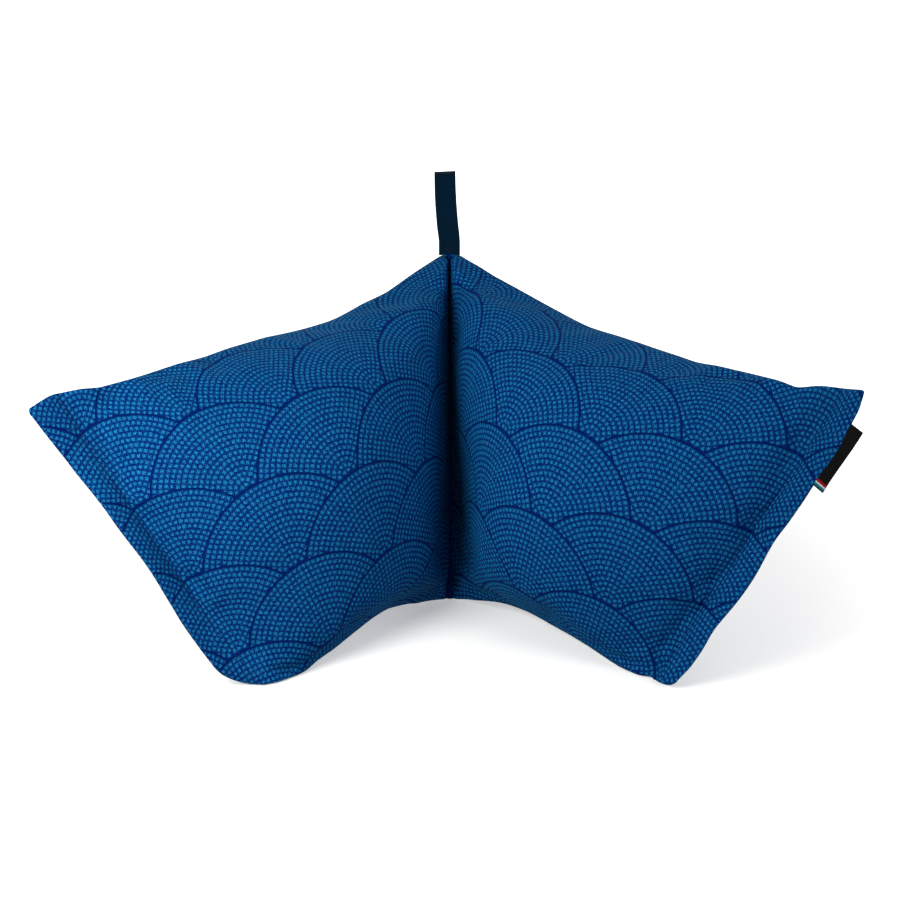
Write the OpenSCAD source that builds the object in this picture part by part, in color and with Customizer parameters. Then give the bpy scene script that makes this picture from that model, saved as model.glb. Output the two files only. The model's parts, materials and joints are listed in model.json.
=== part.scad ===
// Folding neck pillow: two stuffed wings of printed cotton, sewn together along a centre seam and
// standing half open on that seam's foot and on the lower corners of the two wings. Each wing has a
// flat stitched flange at its outer end. A webbing loop hangs it up, and one flange carries a label.
// X runs across the two wings, Y from front to back and Z up from the floor. Lengths are in mm.

/* [Wing outline] */
// Length of the centre seam, from its foot to the hanging loop
spine_len = 180; // [160:1:200]
// Length of a wing's top edge, from the centre seam to the flange's upper corner
top_edge = 270; // [250:1:285]
// Length of a wing's bottom edge, from the centre seam to the flange's lower corner
bottom_edge = 145; // [130:1:155]
// Length of a wing's outer end, along the flange
end_edge = 160; // [148:1:172]
// Angle between the centre seam and a top edge
top_angle = 63; // [59:0.5:66]
// How far the stuffing draws in the middle of a top edge
top_draw = 10.5; // [0:0.5:15]
// How far the stuffing draws in the middle of a bottom edge
bottom_draw = 8; // [0:0.5:10]
// Width of the flat flange outside the stitched line
flange_w = 14; // [9:0.5:18]

/* [Fullness] */
// Height that the front of a wing would reach at the centre seam
front_crown = 75; // [58:1:84]
// Height that the back of a wing would reach at the centre seam
back_crown = 48; // [36:1:58]
// Thickness of the printed cotton
cloth = 0.8; // [0.5:0.1:1.2]
// Width of the seam allowance inside the cover
seam_inset = 3; // [2:0.5:4]
// Space between the stuffing and the cover
fill_gap = 0.3; // [0.2:0.1:0.6]

/* [Stance and fold] */
// Angle by which each standing wing is folded forward from flat
wing_fold = 39; // [37:0.5:44]
// Angle by which a wing can still fold inwards
fold_in = 3; // [1:0.5:4]
// Angle by which a wing can swing outwards and back
fold_back = 75; // [60:1:80]
// Depth to which the soft corners flatten on the floor
foot_flat = 0.5; // [0.3:0.1:0.8]

/* [Centre seam] */
// Diameter of the rolled centre seam
seam_d = 4; // [3:0.1:5]
// Space between the centre seam and the wings that turn on it
seam_clear = 0.3; // [0.2:0.05:0.5]
// Height of the bare seam above the wings, under the loop
seam_over = 1; // [0.5:0.1:2]

/* [Stitches] */
// Length of one stitch
stitch_len = 3; // [2:0.1:4]
// Space between two stitches
stitch_space = 1.2; // [0.8:0.1:2]
// Width of the thread
thread_w = 0.6; // [0.4:0.1:0.8]
// Distance of the flange stitches from the stuffed part
stitch_inset = 2; // [1:0.5:4]

/* [Hanging loop] */
// Width of the webbing
tape_w = 11; // [8:0.5:14]
// Thickness of the webbing
tape_t = 1.2; // [0.8:0.1:1.6]
// Height of the sewn webbing ends
tape_sewn = 5; // [4:0.5:8]
// Height of the free loop, from its flex line to the inside of its fold
loop_len = 36; // [30:1:55]
// Inside radius of the loop's fold
loop_r = 5; // [4:0.5:7]
// Radius of the webbing rolled at the flex line
flex_r = 1.4; // [1.2:0.1:1.8]
// Sideways lean of the free loop
loop_sway = 3; // [0:0.5:5]
// Number of thread bars in the bar tack, on each face
tack_bars = 4; // [3:1:5]

/* [Label] */
// Length of the label along the flange
tag_len = 33; // [20:1:45]
// Width of the label outside the flange
tag_w = 8; // [6:0.5:12]
// Thickness of the folded label
tag_t = 0.9; // [0.6:0.1:1.2]
// Distance of the label from the flange's upper corner
tag_from_top = 10; // [8:1:40]

/* [Hidden] */

// Space between two solids that are sewn face to face
sewn_gap = 0.1;
// Space between two pieces where one flexes on the other
flex_gap = 0.3;
// Angle left between the two wings when they are folded fully in or back
meet_angle = 0.7;
// How sharply the crown turns down beside the centre seam
shoulder = 1.8;
// How the front and back crowns fall towards the flange
front_fall = 2.2;
back_fall = 2.2;
// How the crown rises from the top and bottom edges
edge_rise = 0.68;
// How far the drawn-in edges are drawn in nearer to the centre seam than to the flange
bow_skew = 1.5;
// Numbers of cells along and across the stuffed part of a wing
cells_along = 15;
cells_across = 15;
// Share of even spacing in those cells; the rest of it crowds them towards the seams
even_share = 0.5;
// Number of sides of the round pieces
$fn = 48;

print_blue = [0.06, 0.30, 0.58];
back_blue = [0.05, 0.26, 0.52];
fill_white = [0.93, 0.93, 0.90];
thread_navy = [0.03, 0.12, 0.30];
webbing_navy = [0.02, 0.10, 0.16];
label_black = [0.05, 0.05, 0.06];

// Corners of a wing in its own plane: x from the centre seam outwards, y along the seam
outer_top = [top_edge * sin(top_angle), spine_len - top_edge * cos(top_angle)];
reach = norm(outer_top);
reach_foot = (bottom_edge ^ 2 - end_edge ^ 2 + reach ^ 2) / (2 * reach);
reach_drop = sqrt(bottom_edge ^ 2 - reach_foot ^ 2);
across_reach = [outer_top[1], -outer_top[0]] / reach;
outer_foot = outer_top * reach_foot / reach + across_reach * reach_drop;

// The seam leans back until its foot and the wings' lower corners stand on one floor
spine_lean = atan2(-outer_foot[1], outer_foot[0] * sin(wing_fold));

// Edge of the wing beside the centre seam, and the stitched line inside the flange
root_x = seam_d / 2 + seam_clear;
end_dir = (outer_top - outer_foot) / end_edge;
end_out = [end_dir[1], -end_dir[0]];
foot_dir = outer_foot / bottom_edge;
top_dir = (outer_top - [0, spine_len]) / top_edge;
root_foot = foot_dir * root_x / foot_dir[0];
root_top = [root_x, spine_len];
line_foot = outer_foot - foot_dir * flange_w / (foot_dir * end_out);
line_top = outer_top - top_dir * flange_w / (top_dir * end_out);
line_len = norm(line_top - line_foot);

// Steepest angles of a wing's front and back beside the centre seam
cheek_angle = 90 - wing_fold - fold_in - meet_angle;
nape_angle = 90 + wing_fold - fold_back - meet_angle;

// Places along the centre seam
seam_start = seam_d / 2 * tan(spine_lean) + 2 * foot_flat;
seam_end = spine_len + seam_over;
ends_start = seam_end + sewn_gap / 2;
flex_at = ends_start + tape_sewn + flex_gap + flex_r + tape_w / 2 * sin(loop_sway);

// The frame's origin is on the floor, below the middle of the whole object
front_y = outer_foot[1] * sin(spine_lean) - outer_foot[0] * sin(wing_fold) * cos(spine_lean);
back_y = (flex_at + loop_len - loop_r) * sin(spine_lean) + loop_r + tape_t;
origin_y = -(front_y + back_y) / 2;
foot_z = -foot_flat;

// Shares of the wing taken by the seam allowance
inset_along = seam_inset / ((norm(line_foot - root_foot) + norm(line_top - root_top)) / 2);
inset_across = seam_inset / spine_len;

// Rows and columns of a wing's surfaces, closer together beside the seams
function eased(k, n) = even_share * k / n + (1 - even_share) * (1 - cos(180 * k / n)) / 2;
function spread(n, inset) = concat(0, [for (k = [0:n]) inset + (1 - 2 * inset) * eased(k, n)], 1);
columns = concat(spread(cells_along, inset_along), 2);
rows = spread(cells_across, inset_across);
last_col = len(columns) - 1;
last_row = len(rows) - 1;

// A point of the wing's plane: u runs from the centre seam (0) to the stitched line (1) and on to
// the flange's end (2), and t from the bottom edge (0) to the top edge (1)
function mix(a, b, s) = a + (b - a) * s;
function bow(u) = u > 1 ? 0 : u * (1 - u) ^ bow_skew * (1 + bow_skew) ^ (1 + bow_skew) / bow_skew ^ bow_skew;
function drawn_in(u, t) = [0, bow(u) * (bottom_draw * (1 - t) - top_draw * t)];
function plane_at(u, t) =
    u > 1
        ? mix(mix(line_foot, outer_foot, u - 1), mix(line_top, outer_top, u - 1), t)
        : mix(mix(root_foot, line_foot, u), mix(root_top, line_top, u), t) + drawn_in(u, t);

// Height of the stuffed surface over the plane: it climbs from the centre seam at a steepest angle,
// turns over a round shoulder and falls away to the stitched line
function edge_height(t) = t <= 0 || t >= 1 ? 0 : sin(180 * t) ^ edge_rise;
function lesser(a, b) = a <= 0 || b <= 0 ? 0 : a * b / (a ^ shoulder + b ^ shoulder) ^ (1 / shoulder);
function out_len(t) = mix(line_foot, line_top, t)[0] - root_x;
function crown(u, t, height, fall, angle) =
    u <= 0 || u >= 1 ? 0 : lesser(u * out_len(t) * tan(angle), height * (1 - u ^ fall) * edge_height(t));
function front_height(u, t) = crown(u, t, front_crown, front_fall, cheek_angle);
function back_height(u, t) = crown(u, t, back_crown, back_fall, nape_angle);
function height(face, u, t) = face > 0 ? front_height(u, t) : back_height(u, t);

// The same height inside the cover, where the seam allowance is flat
function inner_share(s, inset) = min(1, max(0, (s - inset) / (1 - 2 * inset)));
function inner_height(face, u, t) = height(face, inner_share(u, inset_along), inner_share(t, inset_across));

// A point x out, y up and n in front of the right wing's plane, in the whole object's frame
function stand(p, n, floor) =
    let (forward = p[0] * sin(wing_fold) + n * cos(wing_fold))
    [
        p[0] * cos(wing_fold) - n * sin(wing_fold),
        p[1] * sin(spine_lean) - forward * cos(spine_lean) + origin_y,
        max(floor, p[1] * cos(spine_lean) + forward * sin(spine_lean) + foot_z)
    ];

// Faces of a grid of points. Each cell is split along the diagonal that points to the grid's middle,
// because the rounded ridges of a stuffed corner run that way.
function halves(a, b, c, d) = [[a, b, c], [a, c, d]];
function cell(a, b, c, d, turned) = turned ? halves(a, d, c, b) : halves(a, b, c, d);
function grid_faces(cols, rws, first, turned) = [
    for (i = [0:cols - 2], j = [0:rws - 2])
        let (a = first + i * rws + j, b = a + 1, c = b + rws, d = a + rws)
        let (same_side = (2 * i < cols - 1) == (2 * j < rws - 1))
        each same_side ? cell(a, b, c, d, turned) : cell(b, c, d, a, turned)
];
function rim(cols, rws) = concat(
    [for (j = [0:rws - 2]) j],
    [for (i = [0:cols - 2]) i * rws + rws - 1],
    [for (j = [rws - 1:-1:1]) (cols - 1) * rws + j],
    [for (i = [cols - 1:-1:1]) i * rws]
);
function rim_faces(loop, under) = [
    for (k = [0:len(loop) - 1])
        let (a = loop[k], b = loop[(k + 1) % len(loop)])
        each [[a, under + a, b], [b, under + a, under + b]]
];

// Solid between an upper and a lower grid, each a list of columns of points
module slab(upper, lower) {
    cols = len(upper);
    rws = len(upper[0]);
    count = cols * rws;
    points = concat([for (column = upper) each column], [for (column = lower) each column]);
    faces = concat(
        grid_faces(cols, rws, 0, false),
        grid_faces(cols, rws, count, true),
        rim_faces(rim(cols, rws), count)
    );
    polyhedron(points, faces, convexity = 6);
}

// One cotton panel of the right wing with its half of the flange: face is 1 in front and -1 behind
module cover_panel(face) {
    outer = [
        for (u = columns) [
            for (t = rows)
                stand(plane_at(u, t), face * (sewn_gap / 2 + cloth + height(face, u, t)), 0)
        ]
    ];
    inner = [
        for (u = columns) [
            for (t = rows)
                let (rise = inner_height(face, u, t))
                stand(plane_at(u, t), face * (sewn_gap / 2 + rise), rise > 0 ? cloth : 0)
        ]
    ];
    if (face > 0) {
        slab(outer, inner);
    } else {
        slab(inner, outer);
    }
}

// Stuffing of the right wing, just inside its cover
module stuffing() {
    function half(face) = [
        for (i = [2:last_col - 3]) [
            for (j = [2:last_row - 2])
                let (rise = inner_height(face, columns[i], rows[j]) - fill_gap)
                stand(plane_at(columns[i], rows[j]), face * rise, cloth + fill_gap)
        ]
    ];
    slab(half(1), half(-1));
}

// Moves its children from the centre seam's own frame, with Z along the seam and -Y to the front
module on_spine() {
    translate([0, origin_y, foot_z]) rotate([-spine_lean, 0, 0]) children();
}

// Moves its children from the right wing's own frame, with X outwards and -Y off the wing's front
module on_wing() {
    on_spine() rotate([0, 0, -wing_fold]) children();
}

// One straight stitch of a given length along X, lying on the plane Z = 0
module stitch(length) {
    translate([-length / 2, -thread_w / 2, sewn_gap / 2]) cube([length, thread_w, thread_w]);
}

// Row of stitches along X, centred in a given length
module stitch_row(length) {
    pitch = stitch_len + stitch_space;
    count = floor((length - stitch_space) / pitch);
    for (k = [0:count - 1]) {
        translate([(k - (count - 1) / 2) * pitch, 0, 0]) stitch(stitch_len);
    }
}

// Both rows of stitches through the right flange
module flange_stitches() {
    middle = (line_foot + line_top) / 2 + end_out * stitch_inset;
    line_angle = atan2(end_dir[1], end_dir[0]);
    for (face = [1, -1]) {
        on_wing()
            translate([middle[0], -face * (sewn_gap / 2 + cloth), middle[1]])
            rotate([0, -line_angle, 0])
            rotate([face * 90, 0, 0])
            stitch_row(line_len - 2 * stitch_inset - seam_inset);
    }
}

module right_front_panel() {
    color(print_blue) cover_panel(1);
}

module right_back_panel() {
    color(back_blue) cover_panel(-1);
}

module right_filling() {
    color(fill_white) stuffing();
}

module right_topstitch() {
    color(thread_navy) flange_stitches();
}

module left_front_panel() {
    color(print_blue) mirror([1, 0, 0]) cover_panel(1);
}

module left_back_panel() {
    color(back_blue) mirror([1, 0, 0]) cover_panel(-1);
}

module left_filling() {
    color(fill_white) mirror([1, 0, 0]) stuffing();
}

module left_topstitch() {
    color(thread_navy) mirror([1, 0, 0]) flange_stitches();
}

// Rolled seam on which the two wings fold
module spine_seam() {
    color(back_blue)
        on_spine()
        translate([0, 0, seam_start])
        cylinder(d = seam_d, h = seam_end - seam_start);
}

// Stitches along the front and back of the rolled seam
module spine_stitches() {
    run = spine_len - seam_start;
    color(thread_navy)
        for (face = [1, -1]) {
            on_spine()
                translate([0, -face * seam_d / 2, seam_start + run / 2])
                rotate([0, -90, 0])
                rotate([face * 90, 0, 0])
                stitch_row(run - stitch_len);
        }
}

// The two sewn ends of the webbing, pressed together on top of the centre seam
module loop_ends() {
    color(webbing_navy)
        on_spine()
        for (face = [1, -1]) {
            translate([-tape_w / 2, face * (tape_t + sewn_gap) / 2 - tape_t / 2, ends_start])
                cube([tape_w, tape_t, tape_sewn]);
        }
}

// Thread bars across both faces of the sewn webbing ends
module loop_bartack() {
    bar_pitch = tape_sewn / (tack_bars + 1);
    bar_len = tape_w - 2 * stitch_space;
    color(thread_navy)
        on_spine()
        for (face = [1, -1], k = [1:tack_bars]) {
            translate([0, -face * (tape_t + sewn_gap / 2), ends_start + k * bar_pitch])
                rotate([face * 90, 0, 0])
                stitch(bar_len);
        }
}

// Free part of the webbing loop, with its round flex line along X
module hang_loop() {
    fold_up = loop_len - loop_r;
    color(webbing_navy)
        on_spine()
        translate([0, 0, flex_at])
        rotate([0, -loop_sway, 0])
        rotate([90, 0, 90])
        translate([0, 0, -tape_w / 2])
        linear_extrude(tape_w)
        difference() {
            union() {
                circle(flex_r);
                hull() {
                    circle(flex_r - flex_gap);
                    translate([0, fold_up]) circle(loop_r + tape_t);
                }
            }
            hull() {
                translate([0, flex_r + tape_t]) circle(flex_gap);
                translate([0, fold_up]) circle(loop_r);
            }
        }
}

// Folded label in the right flange's edge, rounded where it flexes and where it is folded
module side_tag() {
    tag_r = tag_t / 2;
    root = outer_top - end_dir * (tag_from_top + tag_len) + end_out * (tag_r + flex_gap);
    line_angle = atan2(end_dir[1], end_dir[0]);
    blade = tag_w - tag_t - flex_gap;
    color(label_black)
        on_wing()
        translate([root[0], 0, root[1]])
        rotate([0, -line_angle, 0])
        rotate([90, 0, 90])
        linear_extrude(tag_len)
        union() {
            circle(tag_r);
            translate([-tag_r, -blade]) square([tag_t, blade]);
            translate([0, -blade]) circle(tag_r);
        }
}

left_front_panel();
left_back_panel();
left_filling();
left_topstitch();
right_front_panel();
right_back_panel();
right_filling();
right_topstitch();
spine_seam();
spine_stitches();
loop_ends();
loop_bartack();
hang_loop();
side_tag();
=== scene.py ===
"""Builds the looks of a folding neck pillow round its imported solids. Lengths are in metres."""

import json
import math
from functools import partial

import bmesh
import bpy
import numpy as np
from bpy.props import FloatProperty, FloatVectorProperty, PointerProperty
from mathutils import Matrix, Vector, noise

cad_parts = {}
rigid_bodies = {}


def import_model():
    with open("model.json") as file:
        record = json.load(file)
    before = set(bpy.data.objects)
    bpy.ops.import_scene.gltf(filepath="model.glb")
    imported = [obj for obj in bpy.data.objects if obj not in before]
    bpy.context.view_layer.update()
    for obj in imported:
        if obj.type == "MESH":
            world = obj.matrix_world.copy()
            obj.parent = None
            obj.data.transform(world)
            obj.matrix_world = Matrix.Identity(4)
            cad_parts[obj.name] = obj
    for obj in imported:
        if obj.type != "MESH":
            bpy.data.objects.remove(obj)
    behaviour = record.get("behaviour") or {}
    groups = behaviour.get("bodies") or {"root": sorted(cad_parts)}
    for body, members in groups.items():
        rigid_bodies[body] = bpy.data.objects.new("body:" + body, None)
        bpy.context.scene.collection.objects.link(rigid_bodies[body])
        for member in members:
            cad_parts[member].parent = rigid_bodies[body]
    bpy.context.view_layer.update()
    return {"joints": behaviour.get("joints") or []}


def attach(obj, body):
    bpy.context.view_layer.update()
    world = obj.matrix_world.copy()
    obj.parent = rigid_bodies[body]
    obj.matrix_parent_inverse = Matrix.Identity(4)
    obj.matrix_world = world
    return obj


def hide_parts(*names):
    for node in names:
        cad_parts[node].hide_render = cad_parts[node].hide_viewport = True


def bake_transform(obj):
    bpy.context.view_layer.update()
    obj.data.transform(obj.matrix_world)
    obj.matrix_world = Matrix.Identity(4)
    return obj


bl_info = {
    "name": "Folding Neck Pillow",
    "version": (1, 0, 0),
    "blender": (4, 5, 0),
    "location": "View3D > Sidebar > Neck Pillow",
    "description": "Dresses the solids of a folding neck pillow in stuffed and stitched printed cotton",
    "category": "Object",
}

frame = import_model()
JOINTS = {joint["name"]: joint for joint in frame["joints"]}

# The centre seam's foot, its direction and how far it leans back
SEAM_FOOT = np.array(JOINTS["right_wing_fold"]["pos_m"])
SEAM_UP = np.array(JOINTS["right_wing_fold"]["axis"])
SEAM_LEAN = math.atan2(SEAM_UP[1], SEAM_UP[2])

# Cells of a wing's cloth along and across the stuffed part, and the columns of its flange
ALONG, ACROSS = 66, 46
FLANGE_SHARES = (0.06, 0.143, 0.3, 0.55, 0.8, 0.95, 1.0)
STITCH_COLUMN = ALONG + 2
WINGS = (("left", -1.0), ("right", 1.0))
FACES = (("front", 1.0), ("back", -1.0))

# Rough length of the stuffed part, room of a hair between two layers, and the least height that counts
STUFFED = 0.2
HAIR = 0.00005
LEAST = 1e-9

# The cut: skew of the drawn edges, shares of the full crown that its form and the empty pouch have, and how
# the crown rounds off towards the flange, over its end, at the shoulder beside the seam and along the edges
DRAW_SKEW = 1.5
CROWN_SHARE, POUCH_SHARE = 0.97, 0.97
CROWN_FALL, CROWN_END, CROWN_SHOULDER, CROWN_EDGE = 2.2, 0.85, 1.8, 0.68

# The cloth in which a pouch is filled, and the moments that this takes
FILL_MOMENTS = 20
FILL_CLOTH = {
    "quality": 5,
    "mass": 0.0004,
    "tension_stiffness": 12,
    "compression_stiffness": 12,
    "shear_stiffness": 4,
    "bending_stiffness": 0.02,
    "use_pressure": True,
    "uniform_pressure_force": 4,
}

# Ripples of a flange, widths of the dip along its stitches on the stuffed side and on the flange, where
# soft shifts begin, how far uneven edges reach in, and how thin the flange's rim is
RIPPLE_SHARE, RIPPLE_ALONG, RIPPLE_ACROSS = 0.4, 42, 0.4
DIP_INSIDE, DIP_OUTSIDE = 0.0065, 0.004
SHIFT_START = 0.08
UNEVEN_REACH = 0.15
RIM_SHARE = 0.8

# Puckers beside the edges and the stitched line as gain, reach, waves along and waves away from the seam,
# the slant and the start of the edges' puckers, and the waves and starts of the stuffing's lumps
EDGE_PUCKERS = (1.0, 0.011, 78, 22)
LINE_PUCKERS = (1.5, 0.009, 70, 20)
PUCKER_SLANT, PUCKER_START = 0.4, 0.0015
FOOT_SHARE, FOOT_SHIFT = 0.9, 40.0
LUMP_WAVES = 24
LUMP_EDGE, LUMP_LINE = 0.02, 0.03

# Where the cheeks are tucked in beside the crease along u and t, where they are pressed together along u,
# and how soon that ends at the top
TUCK_U, TUCK_T = (0.0, 0.25), (0.12, 0.36)
PRESS_U, PRESS_TOP = (0.015, 0.09), 0.025

# How each wing happens to lie: seed of its puckers and lumps, rounded flange corners at foot and top, depth
# of the dip along its stitched line, how far its cheek is tucked in at the foot of the crease and over
# which t it is pressed to the other one, waves of its flange as place, width and height, soft shifts as
# place and width along u, the same along t, and out, up and forward, and the unevenness of its sewn edges
# in millimetres: lifts of the top and bottom edges by u and reach of the flange's edge by t
LAYS = {
    "left": {
        "seed": 4.0,
        "rounds": (0.013, 0.011),
        "dip": 0.0018,
        "tuck": 0.04,
        "press": (0.02, 0.12),
        "waves": ((0.8, 0.16, -0.003), (0.42, 0.15, 0.0015)),
        "shifts": (
            ((0.85, 0.42), (0.0, 0.2), (-0.002, -0.0046, 0.0098)),
            ((0.1, 0.12), (1.0, 0.22), (0.0, 0.0018, 0.0)),
            ((0.62, 0.2), (1.0, 0.2), (0.0, 0.0024, 0.0)),
            ((2.0, 0.5), (1.0, 0.14), (0.0042, 0.0042, 0.0)),
        ),
        "top": (
            (0.0, 0.8), (0.02, 2.1), (0.07, 0.4), (0.12, -0.5), (0.17, -1.7), (0.24, -0.5), (0.32, -1.8),
            (0.41, -0.7), (0.5, 0.7), (0.6, 0.1), (0.66, -1.0), (0.72, -0.4), (0.82, -1.1), (0.91, -0.9),
            (0.95, 0.9), (1.0, 2.3), (1.2, 2.5), (1.4, 1.3), (1.6, -1.2), (1.8, -2.6), (2.0, 0.0),
        ),
        "foot": (
            (0.0, 0.0), (0.07, -0.3), (0.17, -0.8), (0.22, 0.0), (0.27, 0.4), (0.34, 1.2), (0.43, 0.4),
            (0.51, -0.5), (0.64, -1.3), (0.76, -1.0), (0.85, -2.9), (0.92, -1.0), (1.0, 0.0), (1.4, 0.0),
            (1.7, 0.8), (2.0, 0.0),
        ),
        "end": (
            (0.0, 0.0), (0.05, 0.7), (0.1, 0.6), (0.2, 1.3), (0.35, 0.0), (0.6, 0.0), (0.75, -1.1),
            (0.85, 0.0), (0.9, 1.9), (0.95, 3.8), (1.0, 5.0),
        ),
    },
    "right": {
        "seed": 18.0,
        "rounds": (0.004, 0.003),
        "dip": 0.0032,
        "tuck": 0.56,
        "press": (0.35, 0.75),
        "waves": ((0.42, 0.16, -0.0026), (0.75, 0.12, 0.0008)),
        "shifts": (
            ((2.0, 0.8), (1.0, 0.16), (0.0026, 0.0057, 0.0032)),
            ((0.16, 0.16), (1.0, 0.22), (0.0, 0.0028, 0.0)),
            ((0.66, 0.22), (1.0, 0.2), (0.0, -0.0015, 0.0)),
            ((1.75, 0.5), (1.0, 0.1), (0.0, 0.0022, 0.0)),
            ((2.0, 0.5), (0.84, 0.1), (0.0028, 0.0, 0.0)),
            ((2.0, 0.5), (0.35, 0.14), (0.0015, 0.0, 0.0)),
        ),
        "top": (
            (0.0, 0.8), (0.02, 2.8), (0.07, 1.3), (0.12, 0.2), (0.3, -0.2), (0.38, -0.9), (0.46, 0.6),
            (0.52, 0.9), (0.61, 0.5), (0.66, -0.4), (0.71, 0.5), (0.8, 0.0), (0.86, -0.6), (0.9, -2.3),
            (0.95, 1.1), (1.0, 3.2), (1.2, 2.1), (1.4, 0.1), (1.6, -1.4), (1.8, -1.8), (2.0, -1.0),
        ),
        "foot": (
            (0.0, 0.0), (0.07, 0.0), (0.12, -0.2), (0.17, 0.2), (0.24, 0.9), (0.3, 1.2), (0.41, 1.0),
            (0.52, 0.0), (0.7, -0.4), (0.8, -1.1), (0.9, -1.4), (1.0, -0.9), (1.2, 0.0), (1.6, 1.0),
            (1.8, 1.0), (2.0, 0.1),
        ),
        "end": (
            (0.0, 0.0), (0.05, 1.8), (0.13, 1.5), (0.2, -0.3), (0.3, 1.0), (0.4, 0.2), (0.54, -1.0),
            (0.6, 1.2), (0.68, 2.4), (0.74, 1.2), (0.9, 1.2), (0.95, 2.4), (1.0, 0.2),
        ),
    },
}

# Stuffing: its distance from the covers, the height and size of its tufts, and the least that is left of it
FIBRE_GAP, TUFT_HEIGHT, TUFT_WAVES, FIBRE_LEAST = 0.0042, 0.0006, 90, 0.0003

# Centre seam: how far its roll runs past the cloth, its unevenness, how little ink its print keeps so that
# the roll reads dark as painted shade in the crease, and where its stitches begin
ROLL_BELOW, ROLL_ABOVE = 0.0012, 0.001
ROLL_SIDES, ROLL_STEPS = 20, 60
ROLL_UNEVEN, ROLL_WAVES, ROLL_WAVES_UP = 0.05, 300, 110
ROLL_INK_PAINTED_SHADE, ROLL_PRINT = 0.12, 0.4
SEAM_STITCH_START, SEAM_STITCH_POINTS = 0.006, 40

# Hanging loop: cells along its sewn ends, its sides, half its fold and its width, where its ends start over
# the seam, its sway and bow, and half the length of its bend
SEWN_CELLS, SIDE_CELLS, FOLD_CELLS, WIDTH_CELLS = 6, 16, 11, 8
TAPE_START = 0.0011
LOOP_SWAY, SWAY_START, TWIST_START = math.radians(3), 0.008, 0.004
LOOP_BOW, LOOP_BOW_LENGTH = 0.0007, 0.045

# Bar tack: its rows, their distance, slant and height over the webbing, and how much shorter they are
TACK_ROWS, TACK_PITCH, TACK_SLANT, TACK_LIFT, TACK_SHORT = 4, 0.001, 0.03, 0.00015, 0.0024

# Label: cells over its width, half its fold and its length, how deep it is caught in the flange, how much
# it is short of its width, half the length of its bend, how evenly it follows the flange, and height, turn
# and start of its curl
LABEL_WIDTH_CELLS, LABEL_FOLD_CELLS, LABEL_CELLS = 10, 4, 12
LABEL_CAUGHT, LABEL_SHORT, LABEL_BEND, LABEL_EVEN = 0.0025, 0.0003, 0.001, 0.002
CURL_HEIGHT, CURL_TURN, CURL_START = 0.0006, 1.3, 0.4

# Label's stripes from its lower end: place, half width and colour
STRIPES = (
    (0.0013, 0.0006, (0.008, 0.13, 0.17, 1)),
    (0.00225, 0.00035, (0.5, 0.56, 0.58, 1)),
    (0.00325, 0.00065, (0.27, 0.002, 0.008, 1)),
)

# Printed cotton: distance of two threads and their share in the ink and the tone, how fine its stray ink,
# grain, fading and soft creases are, how much ink and grain blur the dots, how close dots stand in a ring,
# how long, rounded and uneven they are, and the blurred edge of a dot as shares of its pitch
WEAVE_PITCH, WEAVE_INK, WEAVE_TONE = 0.00115, 0.1, 0.22
STRAY_INK, INK_GRAIN, INK_FADE, SOFT_CREASE = 900.0, 1300.0, 160.0, 70.0
INK_BLUR = 0.5
DOT_CROWD, DOT_LONG, DOT_ROUND, DOT_UNEVEN = 1.06, 0.92, 0.2, 0.06
DOT_EDGE = (0.08, 0.47)

# Other finishes: turns of the thread, pitch of the webbing's ribs and slants, half its width between two
# herringbone rows, and pitches of the label's threads
THREAD_TWIST = 14000.0
RIB_PITCH, SLANT_PITCH, HERRINGBONE = 0.0009, 0.0011, 0.00275
SATIN_WARP, SATIN_WEFT = 0.0004, 0.0005

# Studio: half the floor's width, its depth under the pillow, distances over which its painted glow rises from
# the dimmer glow near the pillow, which paints a shadow round it, to the brighter glow far off, the point at
# which the lights aim, each light's place, size, setting and colour, and the camera's sensor
FLOOR_HALF, FLOOR_DEPTH = 12, 0.0008
GLOW_AND_PAINTED_SHADOW_TURN = (0.15, 0.36)
LIGHT_AIM = Vector((0, 0, 0.07))
LIGHTS = {
    "key_light": ((-0.282, -0.334, 0.285), 0.27, "key_power", (1.0, 1.0, 0.94)),
    "fill_light": ((0.823, -0.528, 0.525), 0.5, "fill_power", (1.0, 1.0, 1.0)),
    "back_light": ((0.0, 1.2, 0.5), 1.2, "back_power", (1.0, 1.0, 1.0)),
}
SENSOR_WIDTH = 36


def setting(name, description, default, **kind):
    """A number, or a row of numbers, that a user may change."""
    named = {"name": name, "description": description, "default": default, **kind}
    if isinstance(default, tuple):
        return FloatVectorProperty(size=len(default), **named)
    return FloatProperty(**named)


def degrees(name, description, turn):
    """An angle that a user may change."""
    return setting(name, description, math.radians(turn), subtype="ANGLE")


metres = partial(setting, unit="LENGTH")
watts = partial(setting, subtype="POWER")
paint = partial(setting, subtype="COLOR")


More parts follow.
